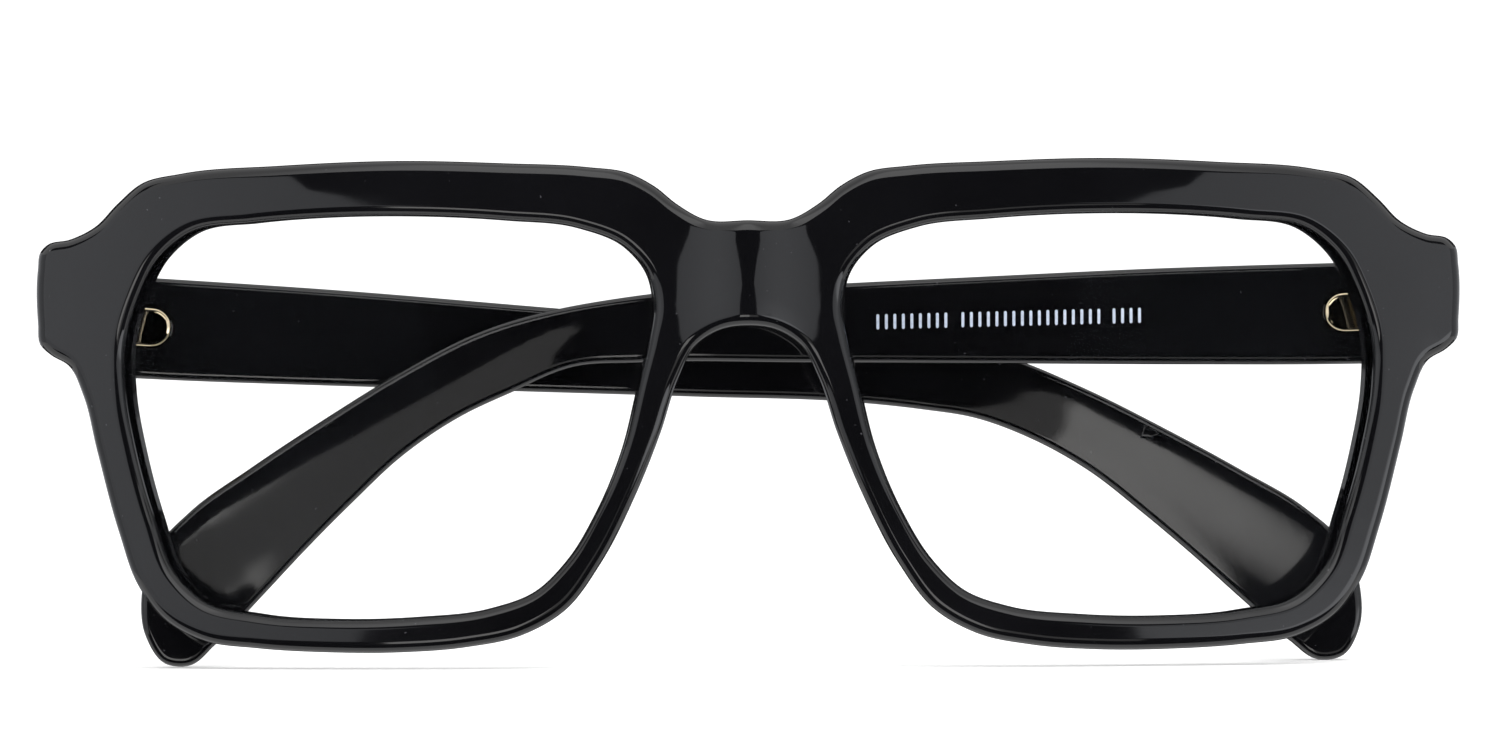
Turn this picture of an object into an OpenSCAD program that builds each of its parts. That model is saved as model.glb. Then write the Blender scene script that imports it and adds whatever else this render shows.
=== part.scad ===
// Folding eyeglasses with a thick acetate front, standing upright with both temples folded.
// +X is the wearer's left, -Y is where the lenses look, +Z is up.

/* [Front] */
// Width of the front across both end pieces
front_w = 143.2; // [138:0.1:147]
// Height of the rims from their lowest to their highest point
rim_h = 49.1; // [46:0.1:52]
// Thickness of the front, through the rims
rim_t = 4.2; // [3.8:0.1:4.6]
// Radius of the curve that each rim and lens follows, seen from above
base_r = 140; // [120:5:200]
// Angle by which each lens is turned outwards
wrap = 6; // [3:0.5:7]
// How far the bridge arches forward of the rims
bridge_arch = 2.6; // [1:0.1:3.2]
// Half of the width of that arch
bridge_half = 4.9; // [4:0.1:6]

/* [Lenses] */
// Thickness of a lens
lens_t = 1.8; // [1.4:0.1:2.2]
// Depth of the groove that holds the lens
groove = 0.7; // [0.4:0.1:1]
// Distance from the front face of a rim back to its lens
lens_set = 1.1; // [0.8:0.1:1.4]

/* [Temples] */
// Thickness of a temple at its root
temple_t = 4; // [3.4:0.1:4.2]
// Thickness of a temple at its tip
tip_t = 3.2; // [2.8:0.1:3.4]
// Distance from the hinge axis to the bend behind the ear
bend_at = 84; // [78:1:90]
// Angle by which the wearer's left temple runs down from level
left_pitch = 1.2; // [0:0.1:2]
// Angle by which the wearer's right temple runs down from level
right_pitch = 3.7; // [3:0.1:4]
// Angle below level of the part behind the left ear
left_drop = 37.1; // [35:0.1:37.2]
// Angle below level of the part behind the right ear
right_drop = 32.5; // [31:0.1:32.7]
// How far the left temple folds in past square, in front of the right one
left_fold = 2.2; // [2:0.1:2.4]
// How far short of square the right temple folds, behind the left one
right_fold = 1.9; // [1.8:0.1:4]

/* [Hinges] */
// Outer radius of a hinge knuckle
knuckle_r = 1.4; // [1.2:0.05:1.5]
// Height of one knuckle
knuckle_h = 1; // [0.8:0.05:1]
// Gap between two knuckles
knuckle_gap = 0.1; // [0.05:0.01:0.2]
// Radius of a hinge screw's shaft
screw_r = 0.7; // [0.6:0.05:0.75]
// Radial clearance of a knuckle on its screw
running = 0.05; // [0.03:0.01:0.08]
// Height of the metal plates set into the acetate
plate_h = 4; // [3.4:0.1:4.4]
// Distance from the hinge axis to the round end of a temple's plate
plate_end = 6.9; // [6:0.1:8]

/* [Hidden] */
$fn = 48;

// Colours
acetate = [0.03, 0.03, 0.035];
pad_black = [0.05, 0.05, 0.055];
clear = [0.85, 0.9, 0.92, 0.35];
gold = [0.83, 0.67, 0.38];
steel = [0.6, 0.6, 0.62];

// Places, before the whole is moved to stand centred on its origin
drawn_w = 143.2;
drawn_h = 49.1;
sx = front_w / drawn_w;
sz = rim_h / drawn_h;
depth_centre = 10.5;
foot_drop = 1.6;
lens_x = 35.6 * sx;
crest = 4;
butt_y = 12;
axis_x = 65.2 * sx;
axis_y = butt_y + knuckle_r + 0.1;
hinge_z = 33.8 * sz;
inner_off = 1.6;
root = 1.3;

// Right half of the front's outline, from the top of the bridge round to its underside
half_outline = [[0, 43], [4.2, 43.1], [7.1, 44.7], [9.2, 46.4], [11.9, 47.8], [16, 48.4],
    [24, 48.8], [35, 49.1], [47, 48.7], [56.8, 48], [60.7, 47.1], [63.3, 45],
    [65.5, 42.8], [68.2, 41.5], [70.5, 41], [71.2, 40.3], [71.5, 38.5], [71.5, 33],
    [71.3, 31], [70.3, 30], [68.3, 28.8], [66.9, 26], [65.5, 20.5], [63.2, 12],
    [61.3, 6.8], [58.9, 3.6], [54.8, 1.3], [49.2, 0.5], [42, 0.1], [34.7, 0.1], [28.2, 0.6],
    [22.6, 1.8], [18.4, 4.2], [14.8, 8.9], [11.4, 15.5], [8.8, 21.9], [7, 27.3],
    [5.2, 30.6], [2.8, 32.1], [0, 32.5]];

// Right lens opening, from the top round over the nose
opening = [[34.7, 43.6], [24, 43.1], [16.9, 42.3], [12.4, 40.4], [10.2, 37.7], [9.6, 34.4],
    [10.1, 31], [11.1, 26.8], [12.8, 20], [15.3, 14], [18.3, 9.1], [21.4, 6.1],
    [26, 4.4], [33, 3.6], [41, 3.4], [48.6, 3.9], [53.6, 5.1], [56.6, 8],
    [58.7, 13.6], [60.5, 20.3], [61.5, 26], [61.5, 31.2], [60.2, 35.7], [58.2, 39.5],
    [55, 42.1], [49, 43], [42, 43.5]];

// Straight stretch of a temple: distance from the hinge axis, then height about the hinge
upper_edge = [[-16, 5], [-4, 5], [8, 5], [24, 4.9], [42, 4.5], [62, 4], [76, 3.5]];
lower_edge = [[83, -3.6], [76, -3.3], [60, -3.7], [40, -4.3], [20, -4.9], [8, -5.2], [-4, -5.3],
    [-16, -5.3]];
// Stretch behind the ear, along and across its own slope from the middle of the bend
ear_end = [[7, 5.6], [15, 7], [24, 7.9], [33, 8.5], [40.5, 8.7], [46.1, 7.6], [49.6, 4.8],
    [51.6, 1.5], [51.7, -2], [49.9, -3.6], [46.5, -3.5], [40, -2.5], [33.5, -1.4],
    [27, -0.5], [20, 0.2], [13, -0.2], [7.4, -1.4]];
core_path = [[5, 0], [30, 0.15], [56, 0.25], [74, 0.15]];
core_ear = [[8, 2.2], [16, 3.4], [26, 3.8], [38, 3.7]];
core_h = 1.6;
core_w = 1.2;
core_in = 1.3;

// Hinge leaves
plate_proud = 0.25;
plate_in = 1.3;
plate_start = 1.7;
leaf_x = -2.9;
leaf_w = 4.6;
leaf_t = 1.3;
head_r = 1;
head_h = 0.45;
stack = 5 * knuckle_h + 4 * knuckle_gap;

// Sampling of curves
curve_steps = 4;
slab_steps = 60;
// How far a cut runs on past what it cuts
spare = 5;

// Unit-speed tangent of a closed line at point i, from its neighbours' distances
function tangent(p, i) =
    let(n = len(p), a = p[(i + n - 1) % n], b = p[i], c = p[(i + 1) % n],
        d1 = norm(b - a), d2 = norm(c - b))
    ((b - a) / d1 * d2 + (c - b) / d2 * d1) / (d1 + d2);

// Smooth closed curve through every point of p
function smooth(p) =
    [for (i = [0:len(p) - 1])
        let(j = (i + 1) % len(p), d = norm(p[j] - p[i]), a = tangent(p, i) * d, b = tangent(p, j) * d)
        for (k = [0:curve_steps - 1])
            let(t = k / curve_steps, u = t * t, v = u * t)
            p[i] * (2 * v - 3 * u + 1) + a * (v - 2 * u + t)
            + p[j] * (3 * u - 2 * v) + b * (v - u)];

// Closed curve moved outwards by d, for a curve that runs anticlockwise
function grow(p, d) =
    [for (i = [0:len(p) - 1]) let(t = tangent(p, i), l = norm(t)) p[i] + [t[1], -t[0]] * d / l];

// Point mirrored to the other side, or scaled to the driving sizes
function sized(p) = [for (q = p) [q[0] * sx, q[1] * sz]];
function other_side(p) = [for (i = [len(p) - 1:-1:0]) [-p[i][0], p[i][1]]];
function without_ends(p) = [for (i = [1:len(p) - 2]) p[i]];

// Depth of the front face at x: each side a cylinder turned by the wrap, with the bridge's arch
apex_x = lens_x - base_r * sin(wrap);
function rim_y(x) =
    let(r = sqrt(x * x + crest * crest) - apex_x)
    base_r - sqrt(base_r * base_r - r * r);
function front_y(x) = rim_y(x) - bridge_arch * exp(-pow(x / bridge_half, 2));
function back_y(x) =
    let(r = abs(x) - apex_x, lean = sqrt(1 - pow(r / base_r, 2)))
    min(butt_y, rim_y(x) + rim_t / lean - 0.5 * bridge_arch * exp(-pow(x / bridge_half, 2)));
function lens_y(x) = rim_y(x) + lens_set;

slab_half = front_w / 2 + 2;
function slab_x(i) = slab_half * (2 * i / slab_steps - 1);

// Extrudes a shape drawn in X and Z through the whole depth
module through() {
    behind = 30;
    whole = 40;
    translate([0, behind, 0])
        rotate([90, 0, 0])
            linear_extrude(whole)
                children();
}

// Wall between two depths that change along x
module front_slab() {
    translate([0, 0, -spare])
        linear_extrude(rim_h + 2 * spare)
            polygon(concat(
                [for (i = [0:slab_steps]) [slab_x(i), front_y(slab_x(i))]],
                [for (i = [slab_steps:-1:0]) [slab_x(i), back_y(slab_x(i))]]));
}

// Right lens: its outline reaches into the groove all round
module lens_shape() {
    lens_steps = 24;
    low = 6 * sx;
    span = 59 * sx;
    intersection() {
        translate([0, 0, -spare])
            linear_extrude(rim_h + 2 * spare)
                polygon(concat(
                    [for (i = [0:lens_steps]) let(x = low + span * i / lens_steps) [x, lens_y(x)]],
                    [for (i = [lens_steps:-1:0])
                        let(x = low + span * i / lens_steps) [x, lens_y(x) + lens_t]]));
        through()
            polygon(grow(smooth(sized(opening)), groove));
    }
}

// Acetate blank of the front, before its grooves and pockets
module front_blank() {
    half = sized(half_outline);
    intersection() {
        front_slab();
        difference() {
            through()
                polygon(smooth(concat(half, other_side(without_ends(half)))));
            for (side = [0, 1])
                mirror([side, 0, 0])
                    through()
                        polygon(smooth(sized(opening)));
        }
    }
}

module front_frame() {
    color(acetate)
        difference() {
            front_blank();
            for (side = [0, 1])
                mirror([side, 0, 0]) {
                    lens_shape();
                    front_plate();
                }
        }
}

module lens() {
    color(clear)
        lens_shape();
}

// Pad glued to the nasal side of the rim's back, running down beside the nose
module nose_pad() {
    pad_path = [[9.3, 5.6, 25], [10.4, 7.2, 21.2], [12.2, 7.4, 17], [14.2, 5.9, 13]];
    pad_r = [1.2, 1.7, 1.75, 1.2];
    color(pad_black)
        difference() {
            hull()
                for (i = [0:len(pad_path) - 1])
                    translate([pad_path[i][0] * sx, pad_path[i][1], pad_path[i][2] * sz])
                        sphere(pad_r[i], $fn = 24);
            front_slab();
        }
}

// Height above the hinge's foot of knuckle i, counted from the lowest
function knuckle_z(i) = hinge_z - stack / 2 + i * (knuckle_h + knuckle_gap);

// Metal plate sunk into the back of the end piece, flush with it
module front_plate() {
    translate([axis_x + leaf_x, butt_y - leaf_t, hinge_z - plate_h / 2])
        cube([leaf_w, leaf_t, plate_h]);
}

// Leaf on the front: plate and the three knuckles 0, 2 and 4
module front_hinge() {
    color(gold)
        difference() {
            union() {
                front_plate();
                for (i = [0, 2, 4])
                    translate([axis_x, axis_y, knuckle_z(i)]) {
                        cylinder(r = knuckle_r, h = knuckle_h);
                        translate([-knuckle_r, butt_y - axis_y, 0])
                            cube([2 * knuckle_r, axis_y - butt_y, knuckle_h]);
                    }
            }
            translate([axis_x, axis_y, knuckle_z(0) - spare])
                cylinder(r = screw_r, h = stack + 2 * spare);
            translate([axis_x, axis_y, knuckle_z(1)])
                cylinder(r = screw_r + running, h = stack);
            translate([axis_x, axis_y, knuckle_z(4) + knuckle_h - head_h])
                cylinder(r = head_r, h = spare);
        }
}

// Screw: slotted head let into the top knuckle, thread in the bottom one
module hinge_screw() {
    slot_w = 0.3;
    slot_h = 0.2;
    color(gold)
        difference() {
            translate([axis_x, axis_y, knuckle_z(0)]) {
                cylinder(r = screw_r, h = stack - head_h / 2);
                translate([0, 0, stack - head_h])
                    cylinder(r = head_r, h = head_h);
            }
            translate([axis_x - spare, axis_y - slot_w / 2, knuckle_z(0) + stack - slot_h])
                cube([2 * spare, slot_w, spare]);
        }
}

// A temple is drawn open: x is the distance back from the hinge axis, y the height about the hinge.
// Its set t holds its pitch, its drop, how far its bend is moved forward, how low its straight
// stretch sits and how low its bend sits.
function turned(p, a, at) =
    [for (q = p) at + [q[0] * cos(a) + q[1] * sin(a), q[1] * cos(a) - q[0] * sin(a)]];
function pitched(p, t) = [for (q = p) [q[0], q[1] - q[0] * tan(t[0]) - t[3]]];
function bend_point(t) = [bend_at - t[2], -t[4] - bend_at * sin(t[0])];
function temple_outline(t) =
    smooth(concat(pitched(upper_edge, t), turned(ear_end, t[1], bend_point(t)),
        pitched(lower_edge, t)));

// Line through the middle of a temple, and a strip of even height along it
function core_line(t) =
    concat(pitched(core_path, t), turned(core_ear, t[1], bend_point(t)));
function side_step(p, i) =
    let(a = p[max(0, i - 1)], b = p[min(len(p) - 1, i + 1)], d = (b - a) / norm(b - a))
    [-d[1], d[0]];
function strip(p, h) =
    concat([for (i = [0:len(p) - 1]) p[i] + side_step(p, i) * h / 2],
        [for (i = [len(p) - 1:-1:0]) p[i] - side_step(p, i) * h / 2]);

// Lays a side view down at a distance from the inner face, w thick
module at_side(inner, w) {
    translate([inner_off + inner, 0, 0])
        rotate([90, 0, 90])
            linear_extrude(w)
                children();
}

module core_shape(t) {
    at_side(core_in, core_w)
        polygon(strip(core_line(t), core_h));
}

// Side view of a temple's plate, with its round end
module plate_outline() {
    end_r = plate_h / 2;
    translate([plate_start, -end_r])
        square([plate_end - end_r - plate_start, plate_h]);
    translate([plate_end - end_r, 0])
        circle(end_r);
}

// Plate set into the inner face
module temple_plate(t) {
    at_side(-plate_proud, plate_proud + plate_in)
        translate([0, -t[3]])
            rotate(-t[0])
                plate_outline();
}

module temple_shape(t) {
    thin = 0.5 * (temple_t - tip_t);
    taper = [40, 70, 95];
    reach = 140;
    intersection() {
        at_side(0, temple_t)
            polygon(temple_outline(t));
        translate([inner_off, 0, -reach / 2])
            linear_extrude(reach)
                polygon([[0, -root], [temple_t, -root], [temple_t, taper[0]],
                    [temple_t - thin / 2, taper[1]], [temple_t - thin, taper[2]],
                    [tip_t, reach], [0, reach]]);
    }
}

module temple(t) {
    color(acetate)
        difference() {
            temple_shape(t);
            temple_plate(t);
            core_shape(t);
        }
}

// Leaf on the temple: plate and the two knuckles 1 and 3
module temple_hinge(t) {
    overlap = 0.6;
    color(gold)
        difference() {
            union() {
                temple_plate(t);
                for (i = [1, 3])
                    translate([0, 0, knuckle_z(i) - hinge_z]) {
                        cylinder(r = knuckle_r, h = knuckle_h);
                        translate([-knuckle_r, 0, 0])
                            cube([knuckle_r + inner_off, plate_start + overlap, knuckle_h]);
                    }
            }
            translate([0, 0, -stack])
                cylinder(r = screw_r + running, h = 2 * stack);
        }
}

module temple_core(t) {
    color(steel)
        core_shape(t);
}

// The two temples' sets: pitch, drop, bend moved forward, how low the straight and the bend sit
left = [left_pitch, left_drop, 0, 0, 0.5];
right = [right_pitch, right_drop, 1, 0.8, 0.1];

// Moves the drawn front to stand centred on the origin
module standing() {
    translate([0, -depth_centre, foot_drop])
        children();
}

// Folds an open temple in by its angle, about its own hinge axis
module folded(turn) {
    standing()
        translate([axis_x, axis_y, hinge_z])
            rotate([0, 0, turn])
                children();
}

module on_right() {
    mirror([1, 0, 0])
        children();
}

left_turn = 90 + left_fold;
right_turn = 90 - right_fold;

standing() front_frame();
standing() lens();  // left_lens
on_right() standing() lens();  // right_lens
standing() nose_pad();  // left_nose_pad
on_right() standing() nose_pad();  // right_nose_pad
standing() front_hinge();  // left_front_hinge
on_right() standing() front_hinge();  // right_front_hinge
standing() hinge_screw();  // left_hinge_screw
on_right() standing() hinge_screw();  // right_hinge_screw
folded(left_turn) temple(left);  // left_temple
on_right() folded(right_turn) temple(right);  // right_temple
folded(left_turn) temple_hinge(left);  // left_temple_hinge
on_right() folded(right_turn) temple_hinge(right);  // right_temple_hinge
folded(left_turn) temple_core(left);  // left_temple_core
on_right() folded(right_turn) temple_core(right);  // right_temple_core
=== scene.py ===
"""Folding eyeglasses in black acetate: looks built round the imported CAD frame."""
import math
from collections import namedtuple

import bpy
import numpy as np
from mathutils import Matrix, Vector
from mathutils.geometry import delaunay_2d_cdt


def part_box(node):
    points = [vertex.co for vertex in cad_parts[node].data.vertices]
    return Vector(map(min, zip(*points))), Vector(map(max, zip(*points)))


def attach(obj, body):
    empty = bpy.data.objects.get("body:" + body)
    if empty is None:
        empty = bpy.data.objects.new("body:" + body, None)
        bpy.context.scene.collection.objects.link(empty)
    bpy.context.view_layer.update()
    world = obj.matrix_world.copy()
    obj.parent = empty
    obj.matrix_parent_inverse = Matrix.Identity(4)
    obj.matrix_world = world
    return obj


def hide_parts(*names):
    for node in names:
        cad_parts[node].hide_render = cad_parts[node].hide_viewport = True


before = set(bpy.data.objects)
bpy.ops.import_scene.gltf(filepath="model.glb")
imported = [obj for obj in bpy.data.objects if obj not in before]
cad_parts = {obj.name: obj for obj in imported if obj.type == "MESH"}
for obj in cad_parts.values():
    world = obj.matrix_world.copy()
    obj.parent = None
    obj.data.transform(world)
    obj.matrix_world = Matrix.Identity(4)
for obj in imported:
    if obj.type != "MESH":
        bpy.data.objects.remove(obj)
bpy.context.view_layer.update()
scene = bpy.context.scene
MM = 0.001

# ---------------------------------------------------------------- shape of the CAD part, in mm
RIM_T, BASE_R, WRAP, CREST = 4.2, 140.0, math.radians(6), 4.0
ARCH, ARCH_HALF = 2.6, 4.9
LENS_T, LENS_SET, GROOVE = 1.8, 1.1, 0.7
BUTT_Y, LENS_X = 12.0, 35.6
DEPTH_CENTRE, FOOT = 10.5, 1.6
AXIS = np.array([65.2, 13.5, 33.8])
INNER, ROOT = 1.6, 1.3
TEMPLE_T, TIP_T = 4.0, 3.2
KNUCKLE_R, KNUCKLE_H, KNUCKLE_GAP, SCREW_R = 1.4, 1.0, 0.1, 0.7
BORE_PLAY = 0.05  # between a knuckle and its screw
PLATE_H, PLATE_END, PLATE_START, PLATE_PROUD, PLATE_IN = 4.0, 6.9, 1.7, 0.25, 1.3
LEAF_X, LEAF_W, LEAF_T = -2.9, 4.6, 1.3
STACK = 5 * KNUCKLE_H + 4 * KNUCKLE_GAP
BEND_AT = 84.0
TAPER_AT = [40, 70, 95, 140]

# The step behind the ear: how steep it is, its middle and width across the temple, how much wider it
# gets per mm, where it starts, the run it grows over, and how much thicker the tip gets per mm
Step = namedtuple("Step", "slope centre width widen start run thicken")
# Pitch, drop and turn are in degrees; forward moves the bend, low and bend_low lower the straight
# stretch and the bend
Temple = namedtuple("Temple", "pitch drop forward low bend_low turn step")
LEFT = Temple(1.2, 37.1, 0, 0, 0.5, 92.2, Step(0.085, 0.4, 5.0, 0.16, -12, 12, 0))
RIGHT = Temple(3.7, 32.5, 1, 0.8, 0.1, 88.1, Step(0.085, 4.2, 14.0, 0, 3, 14, 0.02))

# Looks only: how finely curves and faces are drawn, and the rounding of edges
CURVE_STEPS, LINE_GAP, FACE_GAP, LENS_GAP = 12, 0.45, 0.9, 1.6
ROW_RISE = 0.866  # from one row of even triangles to the next, in gaps
PLATE_GAP, END_STEPS = 0.25, 16
KNUCKLE_LINE_GAP, KNUCKLE_EDGE, BORE_STEPS = 0.18, 0.09, 32
MARGIN = 0.14  # a narrow flat ring beside each rounded edge keeps the shading of the face clean
# At a turn sharper than SHARP_TURN radians an edge keeps LEAST_SHARE of its radius, unless that
# radius is under FINE_EDGE
SHARP_TURN, LEAST_SHARE, FINE_EDGE = 0.5, 0.2, 0.25
FRONT_EDGE, FRONT_BACK_EDGE, OPENING_EDGE = 1.0, 0.6, 0.9
TEMPLE_EDGE, TEMPLE_BACK_EDGE, PLATE_EDGE, LEAF_EDGE = 0.65, 0.9, 0.42, 0.1
FRONT_ROLL, OPENING_ROLL, TEMPLE_ROLL = (0.16, 5.0), (0.03, 1.6), (0.05, 2.0)
CROWN_FROM, CROWN_RUN = 17, 26
# Play round a hinge leaf and a hinge plate in their pockets, the pockets' edge radii, and how much
# deeper a pocket is than what lies in it
LEAF_PLAY, PLATE_PLAY, LEAF_POCKET_EDGE, PLATE_POCKET_EDGE, SEAT = 0.06, 0.1, 0.08, 0.12, 0.02
LENS_PLAY, LENS_EDGE = 0.02, 0.2
# How far the step behind the ear widens, where it fades out and over what run, and how softly the
# tip starts to thicken
WIDEN_TO, FADE_AT, FADE_RUN, SETTLE = 40, 43, 6, 4
EASE_SLOPE = 1.5  # the steepest slope of ease()

HALF_OUTLINE = [[0, 43], [4.2, 43.1], [7.1, 44.7], [9.2, 46.4], [11.9, 47.8], [16, 48.4],
    [24, 48.8], [35, 49.1], [47, 48.7], [56.8, 48], [60.7, 47.1], [63.3, 45],
    [65.5, 42.8], [68.2, 41.5], [70.5, 41], [71.2, 40.3], [71.5, 38.5], [71.5, 33],
    [71.3, 31], [70.3, 30], [68.3, 28.8], [66.9, 26], [65.5, 20.5], [63.2, 12],
    [61.3, 6.8], [58.9, 3.6], [54.8, 1.3], [49.2, 0.5], [42, 0.1], [34.7, 0.1], [28.2, 0.6],
    [22.6, 1.8], [18.4, 4.2], [14.8, 8.9], [11.4, 15.5], [8.8, 21.9], [7, 27.3],
    [5.2, 30.6], [2.8, 32.1], [0, 32.5]]
OPENING = [[34.7, 43.6], [24, 43.1], [16.9, 42.3], [12.4, 40.4], [10.2, 37.7], [9.6, 34.4],
    [10.1, 31], [11.1, 26.8], [12.8, 20], [15.3, 14], [18.3, 9.1], [21.4, 6.1],
    [26, 4.4], [33, 3.6], [41, 3.4], [48.6, 3.9], [53.6, 5.1], [56.6, 8],
    [58.7, 13.6], [60.5, 20.3], [61.5, 26], [61.5, 31.2], [60.2, 35.7], [58.2, 39.5],
    [55, 42.1], [49, 43], [42, 43.5]]
UPPER_EDGE = [[-16, 5], [-4, 5], [8, 5], [24, 4.9], [42, 4.5], [62, 4], [76, 3.5]]
LOWER_EDGE = [[83, -3.6], [76, -3.3], [60, -3.7], [40, -4.3], [20, -4.9], [8, -5.2], [-4, -5.3],
    [-16, -5.3]]
EAR_END = [[7, 5.6], [15, 7], [24, 7.9], [33, 8.5], [40.5, 8.7], [46.1, 7.6], [49.6, 4.8],
    [51.6, 1.5], [51.7, -2], [49.9, -3.6], [46.5, -3.5], [40, -2.5], [33.5, -1.4],
    [27, -0.5], [20, 0.2], [13, -0.2], [7.4, -1.4]]


def slopes(p):
    """Unit-speed slope at each point of a closed line."""
    a, c = np.roll(p, 1, 0), np.roll(p, -1, 0)
    d1 = np.linalg.norm(p - a, axis=1)[:, None]
    d2 = np.linalg.norm(c - p, axis=1)[:, None]
    return ((p - a) / d1 * d2 + (c - p) / d2 * d1) / (d1 + d2)


def smooth(points, steps):
    """Smooth closed curve through every point."""
    p = np.array(points, float)
    q = np.roll(p, -1, 0)
    m = slopes(p)
    d = np.linalg.norm(q - p, axis=1)[:, None]
    a, b = m * d, np.roll(m, -1, 0) * d
    out = []
    for k in range(steps):
        t = k / steps
        u, v = t * t, t ** 3
        out.append(p * (2 * v - 3 * u + 1) + a * (v - 2 * u + t) + q * (3 * u - 2 * v) + b * (v - u))
    return np.stack(out, 1).reshape(-1, 2)


def even(p, gap):
    """The same closed curve with its points an even gap apart."""
    q = np.vstack([p, p[:1]])
    s = np.concatenate([[0], np.cumsum(np.linalg.norm(np.diff(q, axis=0), axis=1))])
    n = max(12, int(round(s[-1] / gap)))
    at = np.arange(n) * s[-1] / n
    return np.stack([np.interp(at, s, q[:, 0]), np.interp(at, s, q[:, 1])], 1)


def outward(p):
    """Outward normals of a closed curve, whichever way it runs."""
    m = slopes(p)
    n = np.stack([m[:, 1], -m[:, 0]], 1)
    n /= np.linalg.norm(n, axis=1)[:, None]
    area = np.sum(p[:, 0] * np.roll(p[:, 1], -1) - np.roll(p[:, 0], -1) * p[:, 1])
    return n if area > 0 else -n


def ease(t):
    """Soft step from 0 to 1."""
    t = np.clip(t, 0, 1)
    return t * t * (3 - 2 * t)


def inside(pts, loop):
    """Which points lie inside a closed curve."""
    x, y = pts[:, 0][:, None], pts[:, 1][:, None]
    a, b = loop, np.roll(loop, -1, 0)
    span = (a[:, 1] > y) != (b[:, 1] > y)
    dy = np.where(np.abs(b[:, 1] - a[:, 1]) < 1e-12, 1e-12, b[:, 1] - a[:, 1])
    cross = a[:, 0] + (y - a[:, 1]) * (b[:, 0] - a[:, 0]) / dy
    return (np.sum(span & (x < cross), axis=1) % 2) == 1


def corner_share(loop, r):
    """Share of an edge radius kept at each point, less near sharp corners, so that no ring of the
    rounded edge crosses itself there."""
    before, after = loop - np.roll(loop, 1, 0), np.roll(loop, -1, 0) - loop
    cross = before[:, 0] * after[:, 1] - before[:, 1] * after[:, 0]
    turn = np.abs(np.arctan2(cross, (before * after).sum(1)))
    corners = loop[turn > SHARP_TURN]
    if r < FINE_EDGE or not len(corners):
        return np.ones((len(loop), 1))
    gap = np.linalg.norm(loop[:, None] - corners[None], axis=2).min(1)
    return np.clip(LEAST_SHARE + 0.8 * gap / (3 * r), LEAST_SHARE, 1)[:, None]


def distance(pts, loops):
    """Distance from each point to the nearest of some closed curves."""
    best = np.full(len(pts), 1e9)
    for loop in loops:
        a, b = loop, np.roll(loop, -1, 0)
        d = b - a
        dd = np.maximum(np.sum(d * d, axis=1), 1e-12)
        for i in range(0, len(pts), 2000):
            p = pts[i:i + 2000]
            t = np.clip(((p[:, None, :] - a[None]) * d[None]).sum(2) / dd[None], 0, 1)
            near = a[None] + t[..., None] * d[None]
            best[i:i + 2000] = np.minimum(best[i:i + 2000],
                np.sqrt(((p[:, None, :] - near) ** 2).sum(2)).min(1))
    return best


def fill(outer, holes, gap):
    """Even triangles between closed curves: (points after the curves' own, faces by index)."""
    loops = [outer] + holes
    lo, hi = outer.min(0), outer.max(0)
    if gap:
        xs = np.arange(lo[0], hi[0], gap)
        ys = np.arange(lo[1], hi[1], gap * ROW_RISE)
        grid = np.array([[x + (j % 2) * gap / 2, y] for j, y in enumerate(ys) for x in xs])
        keep = inside(grid, outer)
        for h in holes:
            keep &= ~inside(grid, h)
        grid = grid[keep]
        grid = grid[distance(grid, loops) > 0.5 * gap]
    else:
        grid = np.zeros((0, 2))
    pts = np.vstack(loops + [grid])
    edges, start = [], 0
    for lp in loops:
        n = len(lp)
        edges += [(start + i, start + (i + 1) % n) for i in range(n)]
        start += n
    out = delaunay_2d_cdt([Vector(p) for p in pts], edges, [], 0, 1e-7)
    source = [o[0] if o else -1 for o in out[3]]
    co = np.array([[v[0], v[1]] for v in out[0]])
    faces = out[2]
    tri = np.array([list(f) for f in faces])
    mid = co[tri].mean(1)
    keep = inside(mid, outer)
    for h in holes:
        keep &= ~inside(mid, h)
    made = [[source[i] for i in f] for f, k in zip(faces, keep) if k]
    return grid, [f for f in made if -1 not in f]


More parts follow.
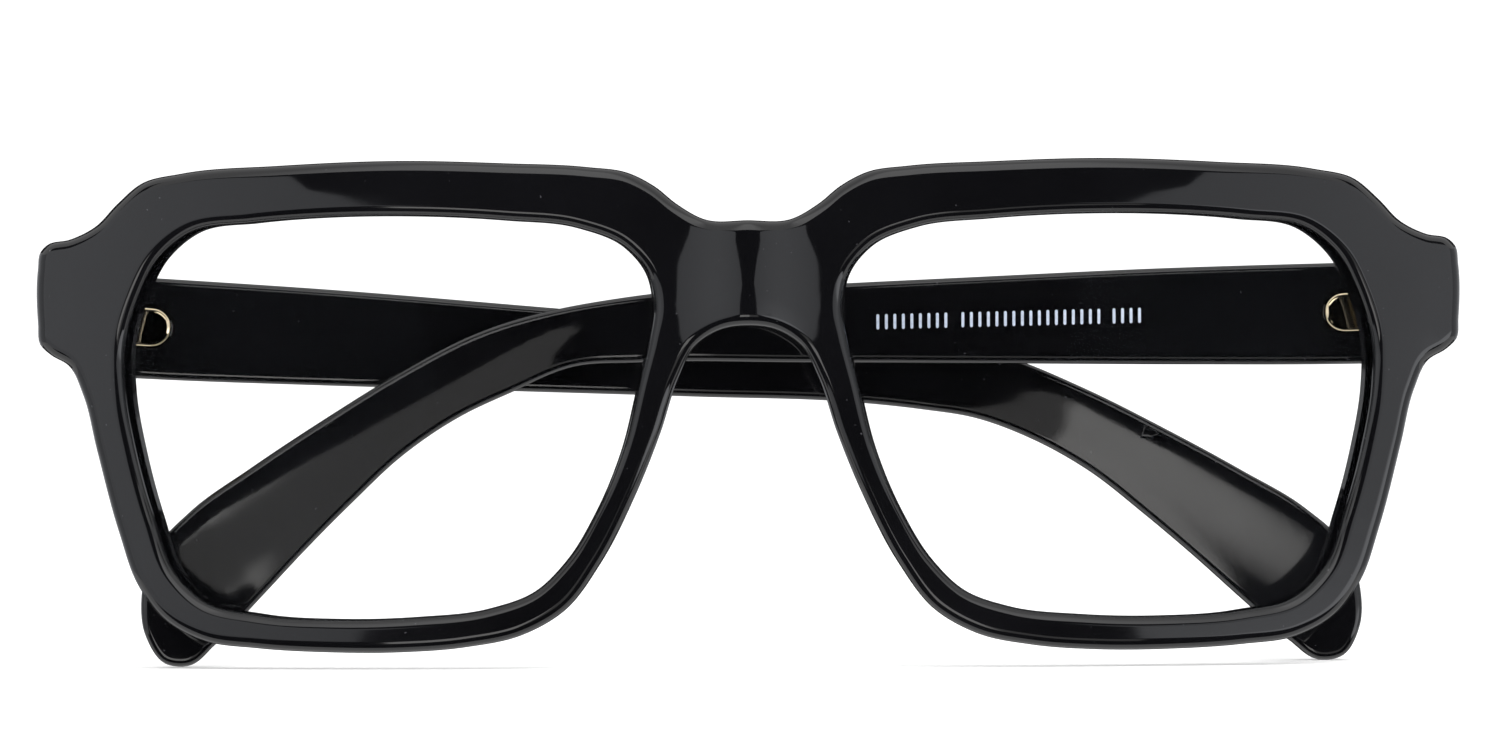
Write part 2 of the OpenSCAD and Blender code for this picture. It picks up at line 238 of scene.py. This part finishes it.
class Slab:
    """A milled plate: outline and openings with rounded edges, between a front and a back face."""

    def __init__(self, front, back, gap, roll=(0, 1), hole_roll=(0, 1), lean=None, share=None):
        """roll and hole_roll are how far and over what width the front face falls off to an edge."""
        self.front, self.back, self.gap, self.lean = front, back, gap, lean
        self.roll, self.hole_roll, self.share = roll, hole_roll, share
        self.co, self.faces = [], []

    def add(self, pts2, y):
        """Adds a ring or grid of points, and returns their numbers."""
        start = len(self.co)
        self.co += [(p[0], v, p[1]) for p, v in zip(pts2, y)]
        return list(range(start, start + len(pts2)))

    def bridge(self, a, b, flip):
        """Joins two rings of points with a band of faces."""
        n = len(a)
        for i in range(n):
            j = (i + 1) % n
            q = [a[i], a[j], b[j], b[i]]
            self.faces.append(q[::-1] if flip else q)

    def leant(self, p, number, depth):
        """Walls of an opening stand square to the curved face, so towards the front they lean out."""
        if self.lean is None or not number:
            return p
        return p + np.stack([self.lean(p[:, 0], depth), np.zeros(len(p))], 1)

    def crown(self, p):
        """How far the front face has fallen off at each point, by its distance from the edges."""
        fall = np.zeros(len(p))
        for loops, (amount, width) in ((self.edges[:1], self.roll), (self.edges[1:], self.hole_roll)):
            if amount and loops:
                fall += amount * np.clip(1 - distance(p, loops) / width, 0, 1) ** 2
        return fall * self.share(p[:, 1]) if self.share else fall

    def build(self, outer, holes=(), r_front=0.7, r_back=0.6, r_hole=0.7, grooves=None, steps=6,
              front_pockets=(), back_pockets=()):
        """holes, front_pockets and back_pockets are closed curves; a pocket is (curve, depth, edge)."""
        loops = [(outer, -1)] + [(h, 1) for h in holes]
        tops, bottoms = [], []
        self.edges = [self.leant(lp, number, 0) for number, (lp, _) in enumerate(loops)]
        for number, (lp, sign) in enumerate(loops):
            n = outward(lp)
            flip = (sign < 0)
            rings = []
            angles = [math.pi / 2 * k / steps for k in range(steps + 1)]
            r = r_hole if number else r_front
            keep = corner_share(lp, r)
            margin = MARGIN if self.gap else 0
            if margin:
                p = self.leant(lp + n * keep * (r + margin) * sign, number, 0)
                rings.append((p, self.front(p[:, 0], p[:, 1]) + self.crown(p)))
            for a in angles:
                drop = 1 - math.cos(a)
                p = self.leant(lp + n * keep * r * (1 - math.sin(a)) * sign, number, r * drop)
                y = self.front(p[:, 0], p[:, 1]) + keep[:, 0] * r * drop + self.crown(p)
                rings.append((p, y))
            if grooves and number:
                for out, y_of, depth in grooves:
                    p = self.leant(lp + n * out, number, depth)
                    rings.append((p, y_of(p[:, 0], p[:, 1])))
            keep = corner_share(lp, r_back)
            for a in reversed(angles):
                p = lp + n * keep * r_back * (1 - math.sin(a)) * sign
                y = self.back(p[:, 0], p[:, 1]) - keep[:, 0] * r_back * (1 - math.cos(a))
                rings.append((p, y))
            if margin:
                p = lp + n * keep * (r_back + margin) * sign
                rings.append((p, self.back(p[:, 0], p[:, 1])))
            ids = [self.add(p, y) for p, y in rings]
            for a, b in zip(ids, ids[1:]):
                self.bridge(a, b, flip)
            tops.append((rings[0][0], ids[0]))
            bottoms.append((rings[-1][0], ids[-1]))
        for face, pockets, sides in ((0, front_pockets, tops), (1, back_pockets, bottoms)):
            extra = []
            for lp, depth, edge in pockets:
                n = outward(lp)
                rings = []
                for k in range(4):
                    a = math.pi / 2 * k / 3
                    p = lp + n * edge * (1 - math.sin(a))
                    sink = edge * (1 - math.cos(a))
                    rings.append((p, self.level(face, p, sink)))
                rings.append((lp, self.level(face, lp, depth)))
                ids = [self.add(p, y) for p, y in rings]
                for a, b in zip(ids, ids[1:]):
                    self.bridge(a, b, bool(face))
                floor = fill(lp, [], 0)[1]
                for f in floor:
                    q = [ids[-1][i] for i in f]
                    self.faces.append(q[::-1] if not face else q)
                extra.append((rings[0][0], ids[0]))
            loops2 = sides + extra
            grid, tris = fill(loops2[0][0], [s[0] for s in loops2[1:]], self.gap)
            index = [i for s in loops2 for i in s[1]]
            index += self.add(grid, self.level(face, grid, 0)) if len(grid) else []
            for f in tris:
                q = [index[i] for i in f]
                self.faces.append(q if face else q[::-1])
        return self

    def level(self, face, p, sink):
        """Depth of the back face (1) or front face (0) at each point, sunk into the plate."""
        if face:
            return self.back(p[:, 0], p[:, 1]) - sink
        return self.front(p[:, 0], p[:, 1]) + sink + self.crown(p)

    def points(self):
        return np.array(self.co)


def make(name, co, faces, body, material, replaced=(), sharp=32):
    """A piece from points in millimetres in the row frame."""
    mesh = bpy.data.meshes.new(name)
    mesh.from_pydata([tuple(p * MM) for p in co], [], faces)
    mesh.validate()
    obj = bpy.data.objects.new(name, mesh)
    scene.collection.objects.link(obj)
    mesh.materials.append(material)
    mesh.shade_smooth()
    mesh.set_sharp_from_angle(angle=math.radians(sharp))
    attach(obj, body)
    if replaced:
        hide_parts(*replaced)
    return obj


def standing(p):
    return p + np.array([0, -DEPTH_CENTRE, FOOT])


def mirrored(p, faces):
    return p * np.array([-1, 1, 1]), [f[::-1] for f in faces]


def folded(p, turn):
    """From a temple's open drawing (across, back, up about the hinge) to its folded place."""
    a = math.radians(turn)
    c, s = math.cos(a), math.sin(a)
    q = np.stack([p[:, 0] * c - p[:, 1] * s, p[:, 0] * s + p[:, 1] * c, p[:, 2]], 1)
    return standing(q + AXIS)


# ---------------------------------------------------------------- materials
def material(name, **sockets):
    m = bpy.data.materials.new(name)
    m.use_nodes = True
    b = m.node_tree.nodes["Principled BSDF"]
    for key, value in sockets.items():
        b.inputs[key.replace("_", " ")].default_value = value
    return m, m.node_tree, b


def noise(tree, scale, detail=4.0, rough=0.5):
    n = tree.nodes.new("ShaderNodeTexNoise")
    n.inputs["Scale"].default_value = scale
    n.inputs["Detail"].default_value = detail
    n.inputs["Roughness"].default_value = rough
    t = tree.nodes.new("ShaderNodeTexCoord")
    tree.links.new(t.outputs["Object"], n.inputs["Vector"])
    return n


def ramp(tree, source, stops):
    r = tree.nodes.new("ShaderNodeValToRGB")
    tree.links.new(source, r.inputs["Fac"])
    e = r.color_ramp.elements
    while len(e) < len(stops):
        e.new(0.5)
    for i, (at, colour) in enumerate(stops):
        e[i].position = at
        e[i].color = (*colour, 1)
    return r


def bump(tree, source, height, distance_m, target):
    b = tree.nodes.new("ShaderNodeBump")
    b.inputs["Strength"].default_value = height
    b.inputs["Distance"].default_value = distance_m
    tree.links.new(source, b.inputs["Height"])
    tree.links.new(b.outputs["Normal"], target)
    return b


def acetate_material(name, base):
    """Polished black acetate: faint clouding in the body, a trace of buffing and specks of dust."""
    m, tree, b = material(name, Roughness=0.05, IOR=1.5)
    cloud = noise(tree, 60, 3)
    body = ramp(tree, cloud.outputs["Fac"], [(0.3, base), (0.75, tuple(c * 1.6 for c in base))])
    dust = noise(tree, 2600, 1, 0.4)
    specks = ramp(tree, dust.outputs["Fac"], [(0.78, (0, 0, 0)), (0.84, (0.05, 0.05, 0.055))])
    add = tree.nodes.new("ShaderNodeMix")
    add.data_type = "RGBA"
    add.blend_type = "ADD"
    add.inputs["Factor"].default_value = 1
    tree.links.new(body.outputs["Color"], add.inputs["A"])
    tree.links.new(specks.outputs["Color"], add.inputs["B"])
    tree.links.new(add.outputs["Result"], b.inputs["Base Color"])
    rub = noise(tree, 140, 5, 0.6)
    gloss = ramp(tree, rub.outputs["Fac"], [(0.3, (0.03,) * 3), (0.8, (0.09,) * 3)])
    tree.links.new(gloss.outputs["Color"], b.inputs["Roughness"])
    wave = noise(tree, 90, 2)
    bump(tree, wave.outputs["Fac"], 0.25, 0.00003, b.inputs["Normal"])
    return m


def metal_material(name, base, rough, grain):
    """Plated metal with fine grain and slightly worn tone."""
    m, tree, b = material(name, Metallic=1.0)
    tone = noise(tree, 700, 4)
    colour = ramp(tree, tone.outputs["Fac"], [(0.3, tuple(c * 0.86 for c in base)), (0.7, base)])
    tree.links.new(colour.outputs["Color"], b.inputs["Base Color"])
    rub = noise(tree, 1500, 6, 0.7)
    gloss = ramp(tree, rub.outputs["Fac"], [(0.3, (rough * 0.7,) * 3), (0.75, (rough * 1.5,) * 3)])
    tree.links.new(gloss.outputs["Color"], b.inputs["Roughness"])
    bump(tree, rub.outputs["Fac"], grain, 0.00002, b.inputs["Normal"])
    return m


def lens_material():
    """Clear lens with an anti-reflection coat: light passes almost whole, with a trace of gloss."""
    m, tree, b = material("clear lens", Roughness=0.02, Metallic=1.0)
    tint = noise(tree, 30, 2)
    colour = ramp(tree, tint.outputs["Fac"], [(0.3, (0.2, 0.25, 0.26)), (0.7, (0.24, 0.28, 0.3))])
    tree.links.new(colour.outputs["Color"], b.inputs["Base Color"])
    slant = tree.nodes.new("ShaderNodeLayerWeight")
    slant.inputs["Blend"].default_value = 0.25
    sheen = ramp(tree, slant.outputs["Facing"], [(0.1, (0.003,) * 3), (1.0, (0.3,) * 3)])
    tree.links.new(sheen.outputs["Color"], b.inputs["Alpha"])
    return m


def print_material():
    m, tree, b = material("temple print", Roughness=0.5)
    tone = noise(tree, 3000, 3)
    colour = ramp(tree, tone.outputs["Fac"], [(0.3, (0.46, 0.53, 0.66)), (0.7, (0.62, 0.69, 0.82))])
    tree.links.new(colour.outputs["Color"], b.inputs["Base Color"])
    return m


ACETATE = acetate_material("black acetate", (0.003, 0.003, 0.0036))
PAD = acetate_material("nose pad acetate", (0.003, 0.003, 0.0035))
GOLD = metal_material("gold hinge metal", (0.9, 0.76, 0.52), 0.05, 0.08)
STEEL = metal_material("core steel", (0.6, 0.6, 0.62), 0.3, 0.4)
LENS = lens_material()
PRINT = print_material()


# ---------------------------------------------------------------- front
APEX = LENS_X - BASE_R * math.sin(WRAP)


def arch(x):
    return np.exp(-(x / ARCH_HALF) ** 2)


def rim_y(x):
    r = np.sqrt(x * x + CREST * CREST) - APEX
    return BASE_R - np.sqrt(BASE_R ** 2 - r * r)


def front_y(x, z=0):
    return rim_y(x) - ARCH * arch(x)


def back_y(x, z=0):
    r = np.abs(x) - APEX
    lean = np.sqrt(1 - (r / BASE_R) ** 2)
    return np.minimum(BUTT_Y, rim_y(x) + RIM_T / lean - 0.5 * ARCH * arch(x))


def lens_front(x, z=0):
    return rim_y(x) + LENS_SET


half = np.array(HALF_OUTLINE)
whole = np.vstack([half, (half * [-1, 1])[::-1][1:-1]])
outline = even(smooth(whole, CURVE_STEPS), LINE_GAP)
right_hole = even(smooth(OPENING, CURVE_STEPS), LINE_GAP)
left_hole = (right_hole * [-1, 1])[::-1]


def box_loop(x0, x1, z0, z1, r, gap=0.3):
    """Rounded rectangle as a closed curve."""
    pts = []
    corners = ((x1 - r, z0 + r, -90), (x1 - r, z1 - r, 0), (x0 + r, z1 - r, 90), (x0 + r, z0 + r, 180))
    for cx, cz, a0 in corners:
        for k in range(5):
            a = math.radians(a0 + 90 * k / 4)
            pts.append([cx + r * math.cos(a), cz + r * math.sin(a)])
    return even(np.array(pts), gap)


leaf_z = (AXIS[2] - PLATE_H / 2, AXIS[2] + PLATE_H / 2)
leaf = box_loop(AXIS[0] + LEAF_X, AXIS[0] + LEAF_X + LEAF_W, *leaf_z, 0.25)
pocket_left = leaf + outward(leaf) * LEAF_PLAY
pocket_right = (pocket_left * [-1, 1])[::-1]
cut = 0.04  # play between a lens and its groove
grooves = [(0, lambda x, z: lens_front(x) - cut, LENS_SET - cut),
    (GROOVE + cut, lambda x, z: lens_front(x) - cut, LENS_SET - cut),
    (GROOVE + cut, lambda x, z: lens_front(x) + LENS_T + cut, LENS_SET + LENS_T + cut),
    (0, lambda x, z: lens_front(x) + LENS_T + cut, LENS_SET + LENS_T + cut)]


def rim_lean(x, depth):
    """How far the wall of an opening has moved sideways at a depth, square to the curved face."""
    r = np.sqrt(x * x + CREST * CREST) - APEX
    slope = r / np.sqrt(BASE_R ** 2 - r * r) * x / np.sqrt(x * x + CREST * CREST)
    return np.maximum(RIM_T - depth, 0) * slope


def crown_share(z):
    """The front face is rounder at the top than at the bottom."""
    return 0.1 + 0.9 * ease((z - CROWN_FROM) / CROWN_RUN)


front = Slab(front_y, back_y, FACE_GAP, FRONT_ROLL, OPENING_ROLL, rim_lean, crown_share)
front.build(outline, [right_hole, left_hole], FRONT_EDGE, FRONT_BACK_EDGE, OPENING_EDGE, grooves,
    back_pockets=[(loop, LEAF_T + SEAT, LEAF_POCKET_EDGE) for loop in (pocket_left, pocket_right)])
make("acetate_front", standing(front.points()), front.faces, "front", ACETATE,
    ["front_frame"])


# ---------------------------------------------------------------- lenses
def lens_piece(name, side, node):
    rim = right_hole + outward(right_hole) * (GROOVE - LENS_PLAY)
    s = Slab(lens_front, lambda x, z: lens_front(x) + LENS_T, LENS_GAP)
    s.build(rim, (), LENS_EDGE, LENS_EDGE, steps=3)
    p, f = s.points(), s.faces
    depth = p[:, 1] - rim_y(p[:, 0])
    p[:, 0] += rim_lean(p[:, 0], depth)
    p[:, 1] = depth + rim_y(p[:, 0])
    if side < 0:
        p, f = mirrored(p, f)
    return make(name, standing(p), f, "front", LENS, [node])


lens_piece("lens_left", 1, "left_lens")
lens_piece("lens_right", -1, "right_lens")


# ---------------------------------------------------------------- temples
def turned(points, angle, at):
    """Points turned down by an angle in degrees and moved to a place."""
    a = math.radians(angle)
    p = np.array(points, float)
    return np.stack([at[0] + p[:, 0] * math.cos(a) + p[:, 1] * math.sin(a),
        at[1] + p[:, 1] * math.cos(a) - p[:, 0] * math.sin(a)], 1)


def pitched(points, t):
    p = np.array(points, float)
    return np.stack([p[:, 0], p[:, 1] - p[:, 0] * math.tan(math.radians(t.pitch)) - t.low], 1)


def bend_point(t):
    return np.array([BEND_AT - t.forward, -t.bend_low - BEND_AT * math.sin(math.radians(t.pitch))])


def side_view(t):
    """The temple's outline from the side, through few points."""
    ear = turned(EAR_END, t.drop, bend_point(t))
    return np.vstack([pitched(UPPER_EDGE, t), ear, pitched(LOWER_EDGE, t)])


def cut_root(loop):
    """Cuts the drawn curve square at the temple's butt end."""
    out = []
    n = len(loop)
    for i in range(n):
        a, b = loop[i], loop[(i + 1) % n]
        if a[0] >= -ROOT:
            out.append(a)
        if (a[0] < -ROOT) != (b[0] < -ROOT):
            k = (-ROOT - a[0]) / (b[0] - a[0])
            out.append(a + (b - a) * k)
    return np.array(out)


def thickness(s):
    thin = 0.5 * (TEMPLE_T - TIP_T)
    return np.interp(s, TAPER_AT, [TEMPLE_T, TEMPLE_T - thin / 2, TEMPLE_T - thin, TIP_T])


def ear_step(t):
    """How far the inner face falls away behind the ear: a long soft step down towards the lower
    edge, while the tip as a whole may thicken a little towards its end."""
    at = bend_point(t)
    a = math.radians(t.drop)
    slope, centre, width, widen, start, run, thicken = t.step

    def fall(s, h):
        u = (s - at[0]) * math.cos(a) - (h - at[1]) * math.sin(a)
        w = (s - at[0]) * math.sin(a) + (h - at[1]) * math.cos(a)
        wide = width + widen * np.clip(u, 0, WIDEN_TO)
        middle = centre + 0.5 * (wide - width)
        grow = ease((u - start) / run) * (1 - ease((u - FADE_AT) / FADE_RUN))
        along = np.clip(u, 0, FADE_AT)
        rise = thicken * (along - SETTLE * (1 - np.exp(-along / SETTLE)))
        return slope / EASE_SLOPE * wide * grow * ease((middle + wide / 2 - w) / wide) - rise
    return fall


def plate_loop(t, extra):
    """Side view of a temple's hinge plate, with its round end, grown by extra."""
    r = PLATE_H / 2 + extra
    middle = PLATE_END - PLATE_H / 2
    pts = [[PLATE_START - extra, -r], [middle, -r]]
    for k in range(1, END_STEPS):
        a = math.radians(-90 + 180 * k / END_STEPS)
        pts.append([middle + r * math.cos(a), r * math.sin(a)])
    pts += [[middle, r], [PLATE_START - extra, r]]
    return even(turned(pts, t.pitch, (0, -t.low)), PLATE_GAP)


def temple_piece(name, t, side, body, node):
    loop = even(cut_root(smooth(side_view(t), CURVE_STEPS)), LINE_GAP)
    fall = ear_step(t)
    s = Slab(lambda x, z: INNER + fall(x, z), lambda x, z: INNER + thickness(x), FACE_GAP, TEMPLE_ROLL)
    pocket = (plate_loop(t, PLATE_PLAY), PLATE_IN + SEAT, PLATE_POCKET_EDGE)
    s.build(loop, (), TEMPLE_EDGE, TEMPLE_BACK_EDGE, front_pockets=[pocket])
    p, f = folded(s.points()[:, [1, 0, 2]], t.turn), [x[::-1] for x in s.faces]
    if side < 0:
        p, f = mirrored(p, f)
    return make(name, p, f, body, ACETATE, [node])


temple_piece("temple_left", LEFT, 1, "left_arm", "left_temple")
temple_piece("temple_right", RIGHT, -1, "right_arm", "right_temple")


# ---------------------------------------------------------------- hinges
def level_plate(loop, low, high, edge, hole=None):
    """A flat plate with rounded edges: points with the loop's plane first and the height second."""
    s = Slab(lambda x, z: np.full(np.shape(x), low), lambda x, z: np.full(np.shape(x), high), 0)
    s.build(loop, [hole] if hole is not None else (), edge, edge, edge, steps=3)
    return s.points(), s.faces


def circle(r, n=40):
    angles = [2 * math.pi * k / n for k in range(n)]
    return np.array([[r * math.cos(a), r * math.sin(a)] for a in angles])


def knuckle(z0, neck, bore):
    """Knuckle with its neck, round the hinge axis: neck is the box it runs into, (x0, x1, y0, y1)."""
    ring = circle(KNUCKLE_R)
    x0, x1, y0, y1 = neck
    if y1 > 0:
        arc = [p for p in ring if p[1] <= 1e-9]
        arc.sort(key=lambda p: math.atan2(p[1], p[0]))
        pts = arc + [[KNUCKLE_R, 0.05], [x1, 0.05], [x1, y1], [x0, y1]]
    else:
        arc = [p for p in ring if p[1] >= -1e-9]
        arc.sort(key=lambda p: math.atan2(p[1], p[0]) % (2 * math.pi))
        pts = arc + [[x0, y0], [x1, y0]]
    loop = even(np.array(pts, float), KNUCKLE_LINE_GAP)
    q, f = level_plate(loop, z0, z0 + KNUCKLE_H, KNUCKLE_EDGE, circle(bore, BORE_STEPS))
    return q[:, [0, 2, 1]], [x[::-1] for x in f]


def join(parts):
    """Several (points, faces) as one."""
    co, faces = [], []
    for p, f in parts:
        faces += [[i + len(co) for i in face] for face in f]
        co += list(p)
    return np.array(co), faces


def knuckle_z(i):
    """Foot of knuckle i, counted from below, about the middle of the stack."""
    return -STACK / 2 + i * (KNUCKLE_H + KNUCKLE_GAP)


def front_leaf(name, side, node):
    parts = [level_plate(leaf, BUTT_Y - LEAF_T, BUTT_Y, LEAF_EDGE)]
    for i in (0, 2, 4):
        bore = SCREW_R if i == 0 else SCREW_R + BORE_PLAY
        p, g = knuckle(knuckle_z(i), (-KNUCKLE_R, KNUCKLE_R, BUTT_Y - AXIS[1] - 0.05, 0), bore)
        parts.append((p + AXIS, g))
    p, f = join(parts)
    p = standing(p)
    if side < 0:
        p, f = mirrored(p, f)
    return make(name, p, f, "front", GOLD, [node], sharp=50)


def temple_leaf(name, t, side, body, node):
    q, f = level_plate(plate_loop(t, 0), INNER - PLATE_PROUD, INNER + PLATE_IN, PLATE_EDGE)
    parts = [(q[:, [1, 0, 2]], [x[::-1] for x in f])]
    neck = (-KNUCKLE_R, INNER + 0.3, 0, PLATE_START + 0.6)
    for i in (1, 3):
        parts.append(knuckle(knuckle_z(i), neck, SCREW_R + BORE_PLAY))
    p, f = join(parts)
    p = folded(p, t.turn)
    if side < 0:
        p, f = mirrored(p, f)
    return make(name, p, f, body, GOLD, [node], sharp=50)


front_leaf("hinge_leaf_left", 1, "left_front_hinge")
front_leaf("hinge_leaf_right", -1, "right_front_hinge")
temple_leaf("temple_plate_left", LEFT, 1, "left_arm", "left_temple_hinge")
temple_leaf("temple_plate_right", RIGHT, -1, "right_arm", "right_temple_hinge")

# ---------------------------------------------------------------- carried-over CAD nodes
FINISH = {"left_hinge_screw": GOLD, "right_hinge_screw": GOLD, "left_temple_core": STEEL,
    "right_temple_core": STEEL}
for node, finish in FINISH.items():
    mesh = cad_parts[node].data
    mesh.materials.clear()
    mesh.materials.append(finish)
for node in ("left_hinge_screw", "right_hinge_screw"):
    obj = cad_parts[node]
    m = obj.modifiers.new("edge", "BEVEL")
    m.width, m.segments, m.limit_method, m.angle_limit = 0.00006, 2, "ANGLE", math.radians(40)

# ---------------------------------------------------------------- nose pads
PAD_SHIFT, PAD_WIDTH, PAD_VOXEL = 0.25 * MM, 0.8, 0.22 * MM


def nose_pad(name, side, node):
    """The CAD pad evened out and polished, a little narrower so that its rim hides it from the front."""
    low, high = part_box(node)
    middle = (low[0] + high[0]) / 2
    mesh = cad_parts[node].data.copy()
    mesh.transform(Matrix.Translation((middle + side * PAD_SHIFT, 0, 0))
        @ Matrix.Diagonal((PAD_WIDTH, 1, 1, 1)) @ Matrix.Translation((-middle, 0, 0)))
    mesh.materials.clear()
    mesh.materials.append(PAD)
    obj = bpy.data.objects.new(name, mesh)
    scene.collection.objects.link(obj)
    m = obj.modifiers.new("even", "REMESH")
    m.mode, m.voxel_size = "VOXEL", PAD_VOXEL
    m.use_smooth_shade = True
    m = obj.modifiers.new("soften", "SMOOTH")
    m.factor, m.iterations = 0.5, 12
    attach(obj, "front")
    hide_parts(node)


nose_pad("nose_pad_left", 1, "left_nose_pad")
nose_pad("nose_pad_right", -1, "right_nose_pad")


# ---------------------------------------------------------------- print on the left temple
def print_row():
    """Three groups of plain short upright dashes where the printed line stands."""
    co, faces = [], []
    half_h, w, centre, pitch_mm = 0.62, 0.15, 0.2, 0.86
    for first, last in ((52.1, 45.2), (43.5, 29.4), (28.2, 25.5)):
        for k in range(int(round((first - last) / pitch_mm)) + 1):
            s = first - k * pitch_mm
            h0 = centre - s * math.tan(math.radians(LEFT.pitch))
            ring = []
            for i in range(12):
                a = 2 * math.pi * (i + 0.5) / 12
                end = math.copysign(half_h, math.sin(a))
                ring.append([s + w * math.cos(a), h0 + end + w * math.sin(a)])
            start, n = len(co), len(ring)
            for lift in (0.0, 0.014):
                co += [[INNER + 0.002 - lift, q[0], q[1]] for q in ring]
            faces.append([start + n + i for i in range(n)])
            faces.append([start + n - 1 - i for i in range(n)])
            for i in range(n):
                j = (i + 1) % n
                faces.append([start + i, start + j, start + n + j, start + n + i])
    return make("temple_print", folded(np.array(co), LEFT.turn), faces, "left_arm", PRINT)


print_row()

# ---------------------------------------------------------------- stage, light and camera
CAMERA_X, CAMERA_Y, VIEW_Z = 0.00015, -0.9105, 0.0292
COOL, WARM = (0.94, 0.96, 1.0), (1, 0.99, 0.97)
LOW_BAND = (-0.14, -0.02)


def graded(tree, source, span, values):
    """A value that runs evenly from one to the other of values over a span of the source."""
    g = tree.nodes.new("ShaderNodeMapRange")
    tree.links.new(source, g.inputs["Value"])
    g.inputs["From Min"].default_value, g.inputs["From Max"].default_value = span
    g.inputs["To Min"].default_value, g.inputs["To Max"].default_value = values
    return g.outputs["Result"]


def card(name, corners, strength, colour=(1, 1, 1), span=None):
    """A flat studio card that shows only in gloss. With a span, strength is (near, far, low): it
    runs from near to far over that span of X in metres, and is low times as strong at the foot of
    LOW_BAND, which is a span of Z in metres."""
    mesh = bpy.data.meshes.new(name)
    mesh.from_pydata(corners, [], [list(range(len(corners)))])
    obj = bpy.data.objects.new(name, mesh)
    scene.collection.objects.link(obj)
    m = bpy.data.materials.new(name)
    m.use_nodes = True
    m.node_tree.nodes.clear()
    e = m.node_tree.nodes.new("ShaderNodeEmission")
    e.inputs["Color"].default_value = (*colour, 1)
    if span:
        near, far, low = strength
        place = m.node_tree.nodes.new("ShaderNodeTexCoord")
        split = m.node_tree.nodes.new("ShaderNodeSeparateXYZ")
        m.node_tree.links.new(place.outputs["Object"], split.inputs["Vector"])
        across = graded(m.node_tree, split.outputs["X"], span, (near, far))
        upward = graded(m.node_tree, split.outputs["Z"], LOW_BAND, (low, 1))
        times = m.node_tree.nodes.new("ShaderNodeMath")
        times.operation = "MULTIPLY"
        m.node_tree.links.new(across, times.inputs[0])
        m.node_tree.links.new(upward, times.inputs[1])
        m.node_tree.links.new(times.outputs["Value"], e.inputs["Strength"])
    else:
        e.inputs["Strength"].default_value = strength
    o = m.node_tree.nodes.new("ShaderNodeOutputMaterial")
    m.node_tree.links.new(e.outputs["Emission"], o.inputs["Surface"])
    mesh.materials.append(m)
    obj.visible_camera = obj.visible_diffuse = obj.visible_shadow = obj.visible_transmission = False


def wall_card(name, spots, back, strength, colour=(1, 1, 1), span=None):
    """A card square to the view, back metres in front of the glasses. Its corners are given as
    directions from the middle of the glasses: sideways and upwards, in degrees."""
    corners = [(math.tan(math.radians(a)) * back, -back, VIEW_Z + math.tan(math.radians(e)) * back)
        for a, e in spots]
    card(name, corners, strength, colour, span)


# The dark room round the camera and behind the glasses, and for each side a large soft box in front,
# one behind, a side wall and half of the box above; the low card lights the tips
wall_card("dark_room", [(-66, -60), (66, -60), (66, 60), (-66, 60)], 1.8, 0.0)
wall_card("dark_room_back", [(-60, -50), (60, -50), (60, 42), (-60, 42)], -1.8, 0.06)
BOX_EDGE = ((11.5, 0), (23, 5.5), (30, 14), (46, 30), (70, 48), (70, -44), (46, -24), (30, -12),
    (23, -5.5))
BOX_ABOVE = ((0, 17), (24, 17), (50, 30), (62, 76), (0, 76))
SIDE_WALL = ((-1.6, -1.2), (2.5, -1.2), (2.5, 1.3), (-1.6, 1.3))
for sgn, label, low in ((-1, "west", 0.85), (1, "east", 2.2)):
    edge = [(sgn * a, e) for a, e in BOX_EDGE]
    above = [(sgn * a, e) for a, e in BOX_ABOVE]
    wall_card("soft_box_" + label, edge, 1.5, (0.88, 1.2, low), COOL, (0.4 * sgn, 1.6 * sgn))
    wall_card("soft_box_back_" + label, edge, -1.5, 0.9, COOL)
    card("side_wall_" + label, [(sgn * 4.0, y, z) for y, z in SIDE_WALL], 0.75, COOL)
    wall_card("soft_box_above_" + label, above, 1.6, (2.1, 1.1, 1), (1, 1, 1), (0.45 * sgn, 1.1 * sgn))
low_spots = [(-16, -6), (19, -6.5), (19, -20), (-16, -20)]
wall_card("low_card", low_spots, 1.6, (2.7, 0.65, 1), WARM, (0.045, 0.09))

world = bpy.data.worlds.new("studio")
scene.world = world
world.use_nodes = True
world.node_tree.nodes["Background"].inputs["Color"].default_value = (1, 1, 1, 1)
world.node_tree.nodes["Background"].inputs["Strength"].default_value = 1.25

floor_mesh = bpy.data.meshes.new("floor")
floor_mesh.from_pydata([(-4, -1.6, 0), (4, -1.6, 0), (4, 4, 0), (-4, 4, 0)], [], [[0, 1, 2, 3]])
floor = bpy.data.objects.new("floor", floor_mesh)
scene.collection.objects.link(floor)
floor_mat, _, floor_bsdf = material("pale floor", Roughness=0.9)
floor_bsdf.inputs["Base Color"].default_value = (0.82, 0.82, 0.82, 1)
floor_bsdf.inputs["Specular IOR Level"].default_value = 0
floor_bsdf.inputs["Emission Color"].default_value = (1, 1, 1, 1)
floor_bsdf.inputs["Emission Strength"].default_value = 0.3
floor_mesh.materials.append(floor_mat)
floor.visible_glossy = False

key = bpy.data.lights.new("key", "AREA")
key.energy, key.size = 6, 0.8
key_obj = bpy.data.objects.new("key", key)
key_obj.location = (0.4, -0.6, 1.1)
aim = Vector((0, 0, 0.03)) - Vector(key_obj.location)
key_obj.rotation_euler = aim.to_track_quat("-Z", "Y").to_euler()
key_obj.visible_glossy = False
scene.collection.objects.link(key_obj)

cam = bpy.data.cameras.new("camera")
cam.lens, cam.sensor_width = 217.1, 36
cam.clip_start, cam.clip_end = 0.01, 20
cam_obj = bpy.data.objects.new("camera", cam)
cam_obj.location = (CAMERA_X, CAMERA_Y, VIEW_Z)
cam_obj.rotation_euler = (math.pi / 2, math.radians(0.25), 0)
scene.collection.objects.link(cam_obj)
scene.camera = cam_obj
scene.view_settings.view_transform = "Standard"
